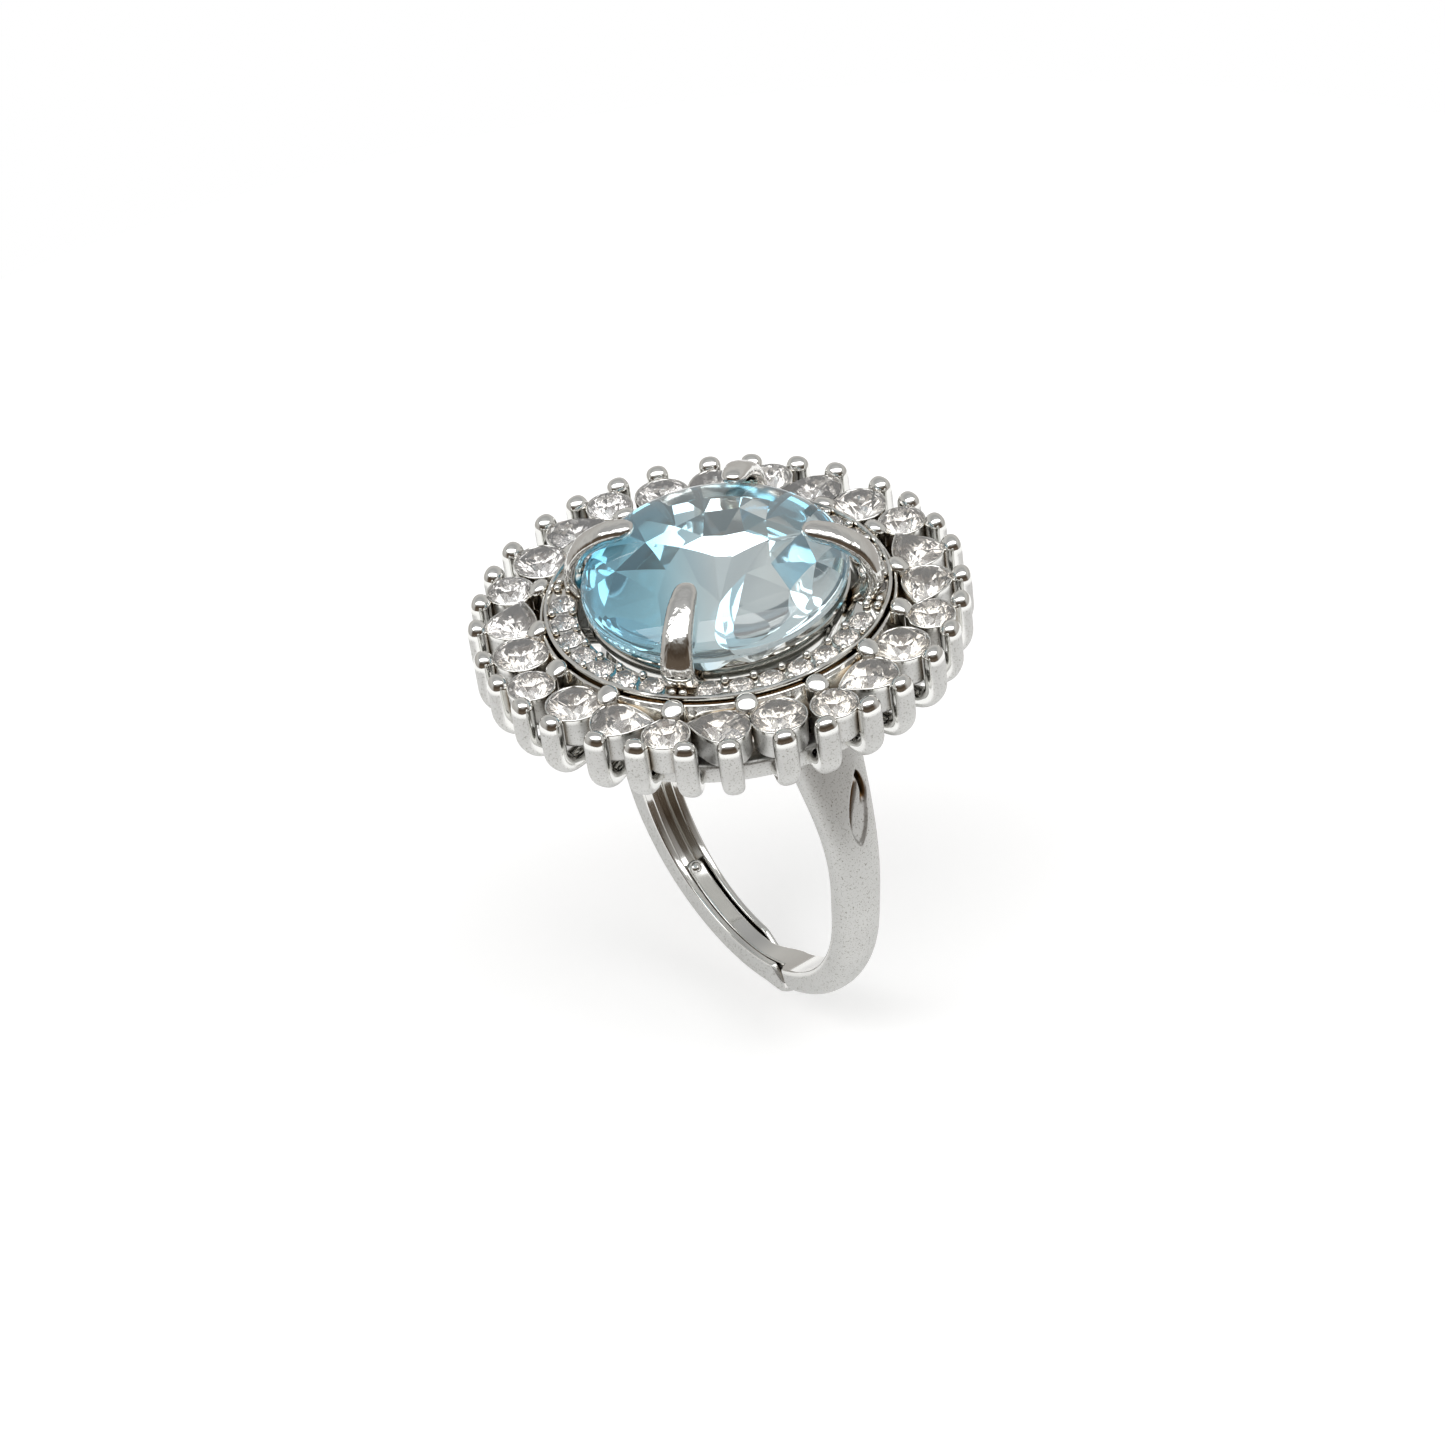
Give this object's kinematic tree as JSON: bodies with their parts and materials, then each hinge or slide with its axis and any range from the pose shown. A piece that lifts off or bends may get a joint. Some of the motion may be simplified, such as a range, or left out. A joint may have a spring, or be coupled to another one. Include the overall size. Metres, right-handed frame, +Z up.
{
  "type": "adjustable cocktail ring",
  "caption": "Adjustable cocktail ring with a domed pale blue centre stone in claws, a pave ring, a halo of claw-set clear stones and an overlapping tongue-and-channel band.",
  "frame": {"origin": "centre of the finger hole, on the finger's axis and at the middle of the band's width", "axes": "+Y along the finger, +Z up to the head and the centre stone, +X to the half-band that ends in the tongue"},
  "size_m": [0.0262, 0.0262, 0.029],
  "materials": {
    "satin_metal": "satin",
    "polished_metal": "polished",
    "blue_glass": "polished",
    "clear_glass": "polished"
  },
  "bodies": {
    "head_and_shoulders": {"right_shoulder": "satin_metal", "left_shoulder": "satin_metal", "halo_gallery": "polished_metal", "pave_ring": "polished_metal", "center_basket": "polished_metal", "center_stone": "blue_glass", "halo_stone_01": "clear_glass", "halo_stone_02": "clear_glass", "halo_stone_03": "clear_glass", "halo_stone_04": "clear_glass", "halo_stone_05": "clear_glass", "halo_stone_06": "clear_glass", "halo_stone_07": "clear_glass", "halo_stone_08": "clear_glass", "halo_stone_09": "clear_glass", "halo_stone_10": "clear_glass", "halo_stone_11": "clear_glass", "halo_stone_12": "clear_glass", "halo_stone_13": "clear_glass", "halo_stone_14": "clear_glass", "halo_stone_15": "clear_glass", "halo_stone_16": "clear_glass", "halo_stone_17": "clear_glass", "halo_stone_18": "clear_glass", "halo_stone_19": "clear_glass", "halo_stone_20": "clear_glass", "halo_stone_21": "clear_glass", "halo_stone_22": "clear_glass", "halo_stone_23": "clear_glass", "halo_stone_24": "clear_glass", "pave_stone_01": "clear_glass", "pave_stone_02": "clear_glass", "pave_stone_03": "clear_glass", "pave_stone_04": "clear_glass", "pave_stone_05": "clear_glass", "pave_stone_06": "clear_glass", "pave_stone_07": "clear_glass", "pave_stone_08": "clear_glass", "pave_stone_09": "clear_glass", "pave_stone_10": "clear_glass", "pave_stone_11": "clear_glass", "pave_stone_12": "clear_glass", "pave_stone_13": "clear_glass", "pave_stone_14": "clear_glass", "pave_stone_15": "clear_glass", "pave_stone_16": "clear_glass", "pave_stone_17": "clear_glass", "pave_stone_18": "clear_glass", "pave_stone_19": "clear_glass", "pave_stone_20": "clear_glass", "pave_stone_21": "clear_glass", "pave_stone_22": "clear_glass", "pave_stone_23": "clear_glass", "pave_stone_24": "clear_glass", "pave_stone_25": "clear_glass", "pave_stone_26": "clear_glass", "pave_stone_27": "clear_glass", "pave_stone_28": "clear_glass"},
    "right_band": {"tongue_band": "satin_metal"},
    "left_band": {"channel_band": "satin_metal"}
  },
  "joints": [
    {"name": "tongue_flex", "type": "hinge", "parent": "head_and_shoulders", "child": "right_band", "pos_m": [0.0093, 0, -0.0004], "axis": [0, -1, 0], "range_deg": [-1, 10]},
    {"name": "channel_flex", "type": "hinge", "parent": "head_and_shoulders", "child": "left_band", "pos_m": [-0.0093, 0, -0.0004], "axis": [0, 1, 0], "range_deg": [-1, 10]}
  ],
  "couplings": [
    {"joint": "channel_flex", "follows": "tongue_flex", "ratio": 1}
  ]
}
